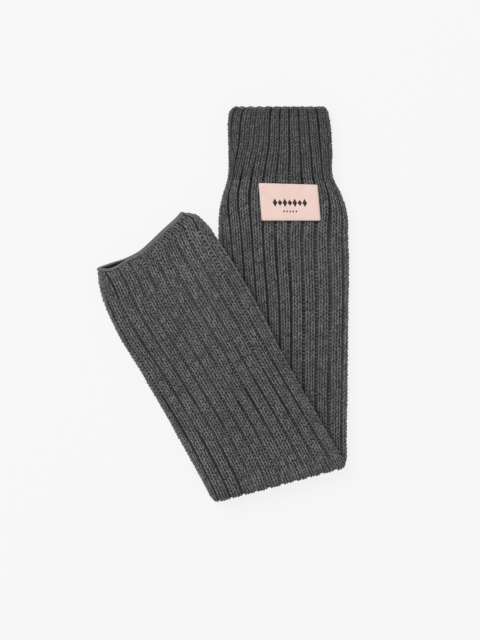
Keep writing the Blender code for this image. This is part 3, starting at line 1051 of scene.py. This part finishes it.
def give_material(piece, material):
    """Puts one material on the whole of a piece."""
    piece.data.materials.clear()
    piece.data.materials.append(material)


def attach(piece, body):
    """Lets a piece ride on its half; a piece of the fold has its placement baked into its mesh and rides on
    neither half.
    """
    if body == "fold":
        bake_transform(piece)
    else:
        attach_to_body(piece, body)


def build_stretch(name, start, end, body, nodes, knit, purl, yarns, ground, extra=()):
    """One stretch of the sleeve: its backing fabric and, in a few meshes, the stitches on it."""
    alongs = np.linspace(start, end, BACKING_RINGS[name])
    backing = shell(f"ground_{name}", alongs, RIB_COUNT * BACKING_STEPS)
    give_material(backing, ground)
    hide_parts(*nodes)
    pieces = list(extra)
    for piece in extra:
        give_material(piece, yarns[0])
    lowest = -math.inf if name == "cuff" else start
    faces = {"over": (0.0, 0.5), "under": (0.5, 1.0)}
    if name == "fold":
        faces = {"outside": (FOLD_OUTSIDE_FROM, FOLD_OUTSIDE_TO)}
    for face, (first, last) in faces.items():
        kept = []
        for rows in (knit, purl):
            side = (rows[:, 1] - first) % 1.0 < last - first
            kept.append(rows[side & (rows[:, 3] >= lowest) & (rows[:, 3] < end)])
        for kind, lay, rows, yarn in zip(("knit", "purl"), (lay_knit, lay_purls), kept, yarns):
            runs = YarnRuns()
            lay(runs, rows)
            stitches = runs.build(f"{kind}_{name}_{face}")
            give_material(stitches, yarn)
            pieces.append(stitches)
    for piece in (backing, *pieces):
        attach(piece, body)


def build_knit():
    """The knit in four stretches, and the hem."""
    # The cuff and furrow copies are the leg's yarn darkened: painted shade, not a different yarn.
    painted_shade_furrow_yarn = yarn_material("painted_shade_furrow_yarn", FURROW_PAINTED_SHADE, 45.0, 0.9)
    cuff_yarns = yarn_material("cuff_yarn_painted_shade", CUFF_PAINTED_SHADE), painted_shade_furrow_yarn
    leg_yarns = yarn_material("leg_yarn", 1.0), painted_shade_furrow_yarn
    ground = backing_material()
    ribs = np.arange(RIB_COUNT)
    knit = columns(ribs / RIB_COUNT)
    purl = columns((ribs + 0.5) / RIB_COUNT)
    chain = YarnRuns()
    lay_cast_on(chain)
    chain = chain.build("cast_on_chain")
    cuff_nodes = ("ribbed_cuff", "cuff_edge")
    cuff = (knit, purl, cuff_yarns, ground)
    leg = (knit, purl, leg_yarns, ground)
    build_stretch("cuff", CUFF_START, CUFF_END, "lower_half", cuff_nodes, *cuff, extra=[chain])
    build_stretch("lower", CUFF_END, CREASE_AT, "lower_half", ("leg_lower",), *leg)
    build_stretch("fold", CREASE_AT, FOLD_END, "fold", ("fold_band",), *leg)
    build_stretch("upper", FOLD_END, HEM_END - HEM_RADIUS, "upper_half", ("leg_upper",), *leg)

    hem = hem_ring("whipped_hem")
    give_material(hem, hem_material())
    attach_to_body(hem, "upper_half")
    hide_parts("rolled_hem")


def build_label():
    """The sewn-on label, its motif and its seam."""
    cloth = label_material("label_satin", LABEL_COLOUR, 0.06)
    thread = label_material("label_thread", LABEL_COLOUR, 0.10)
    dark = label_material("motif_thread", MOTIF_COLOUR, 0.4)
    label, motif, seam = label_body(), label_motif(), label_seam()
    for piece, material, slot in ((label, cloth, "label"), (motif, dark, "label"), (seam, thread, "thread")):
        give_material(piece, material)
        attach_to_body(piece, "lower_half")
    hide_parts("woven_label")
    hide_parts("label_thread")


def dress_elastics():
    """The elastic threads keep their CAD shape."""
    material = elastic_material()
    for name in ("cuff_elastic_1", "cuff_elastic_2", "cuff_elastic_3"):
        give_material(bpy.data.objects[name], material)


def floor_and_light():
    """A plain pale floor under soft, even light."""
    bpy.ops.mesh.primitive_plane_add(size=FLOOR_SIZE, location=(0, 0, -FLOOR_DROP))
    floor = bpy.context.object
    floor.name = "floor"
    made, tree, shader = node_material("pale_floor", 0.9)
    shader.inputs["Base Color"].default_value = (FLOOR_COLOUR, FLOOR_COLOUR, FLOOR_COLOUR, 1.0)
    shader.inputs["Emission Color"].default_value = (1.0, 1.0, 1.0, 1.0)
    shader.inputs["Emission Strength"].default_value = FLOOR_GLOW
    floor.data.materials.append(made)

    world = bpy.data.worlds.new("soft_world")
    bpy.context.scene.world = world
    world.use_nodes = True
    background = world.node_tree.nodes["Background"]
    background.inputs["Color"].default_value = (1.0, 1.0, 1.0, 1.0)
    background.inputs["Strength"].default_value = WORLD_LIGHT

    lamp = bpy.data.lights.new("overhead", "AREA")
    lamp.shape = "DISK"
    lamp.size = LAMP_SIZE
    lamp.energy = LAMP_POWER
    placed = bpy.data.objects.new("overhead", lamp)
    placed.location = LAMP_PLACE
    placed.rotation_euler = (-Vector(LAMP_PLACE)).to_track_quat("-Z", "Y").to_euler()
    bpy.context.scene.collection.objects.link(placed)


def overhead_camera():
    """The view from straight above."""
    data = bpy.data.cameras.new("camera")
    data.sensor_fit = "VERTICAL"
    data.lens = data.sensor_height * VIEW_HEIGHT / VIEW_LENGTH
    data.clip_end = VIEW_END
    placed = bpy.data.objects.new("camera", data)
    placed.location = (*VIEW_MIDDLE, VIEW_HEIGHT)
    bpy.context.scene.collection.objects.link(placed)
    bpy.context.scene.camera = placed


def main():
    """Sets the stage, and dresses every part of the sleeve."""
    floor_and_light()
    overhead_camera()
    bpy.context.scene.view_settings.view_transform = "Standard"
    build_knit()
    build_label()
    dress_elastics()


main()
